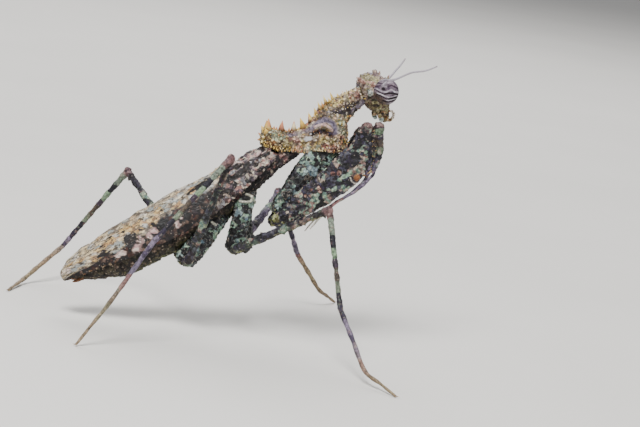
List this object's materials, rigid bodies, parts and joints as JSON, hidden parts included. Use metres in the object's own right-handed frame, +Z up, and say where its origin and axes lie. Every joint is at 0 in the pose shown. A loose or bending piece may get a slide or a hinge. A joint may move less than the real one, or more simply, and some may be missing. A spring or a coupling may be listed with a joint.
{
  "type": "praying mantis",
  "caption": "Life-size still model of a small spiny bark-coloured praying mantis, standing on its walking legs with the forelegs folded, wings closed over the abdomen.",
  "frame": {"origin": "On the floor, under the middle of the box round the whole insect, feet and feelers included", "axes": "+X is forward, towards the head; +Y is the insect's left; +Z is up. The four feet stand on z = 0"},
  "size_m": [0.0402, 0.0445, 0.0308],
  "materials": {
    "bark": "rough dark brown-grey cuticle, mottled",
    "wing_bark": "cream and ochre wing cover with dark brown flecks",
    "moss": "yellow-ochre knobbly cuticle",
    "lichen": "pale blue-green and dark mottled cuticle",
    "mottled_leg": "dark purple-grey and red-brown mottled cuticle",
    "banded_leg": "cuticle in pale green, brown and dark bands",
    "foot_brown": "orange-brown cuticle",
    "head_plate": "pinkish grey-green granular cuticle",
    "eye_striped": "smooth eye with wavy dark and pale stripes",
    "feeler": "pale grey thin feeler",
    "mouth": "yellow-brown mouthparts"
  },
  "bodies": {
    "root": {"abdomen": "bark", "antenna_left": "feeler", "antenna_right": "feeler", "cercus_left": "foot_brown", "cercus_right": "foot_brown", "eye_left": "eye_striped", "eye_right": "eye_striped", "fore_coxa_left": "lichen", "fore_coxa_right": "lichen", "fore_femur_left": "mottled_leg", "fore_femur_right": "mottled_leg", "fore_tarsus_left": "foot_brown", "fore_tarsus_right": "foot_brown", "fore_tibia_left": "banded_leg", "fore_tibia_right": "banded_leg", "head": "head_plate", "hind_coxa_left": "lichen", "hind_coxa_right": "lichen", "hind_femur_left": "mottled_leg", "hind_femur_right": "mottled_leg", "hind_tarsus_left": "foot_brown", "hind_tarsus_right": "foot_brown", "hind_tibia_left": "banded_leg", "hind_tibia_right": "banded_leg", "mid_coxa_left": "lichen", "mid_coxa_right": "lichen", "mid_femur_left": "mottled_leg", "mid_femur_right": "mottled_leg", "mid_tarsus_left": "foot_brown", "mid_tarsus_right": "foot_brown", "mid_tibia_left": "banded_leg", "mid_tibia_right": "banded_leg", "mouthparts": "mouth", "pronotum": "moss", "thorax": "bark", "wing_left": "wing_bark", "wing_right": "wing_bark"}
  },
  "joints": []
}
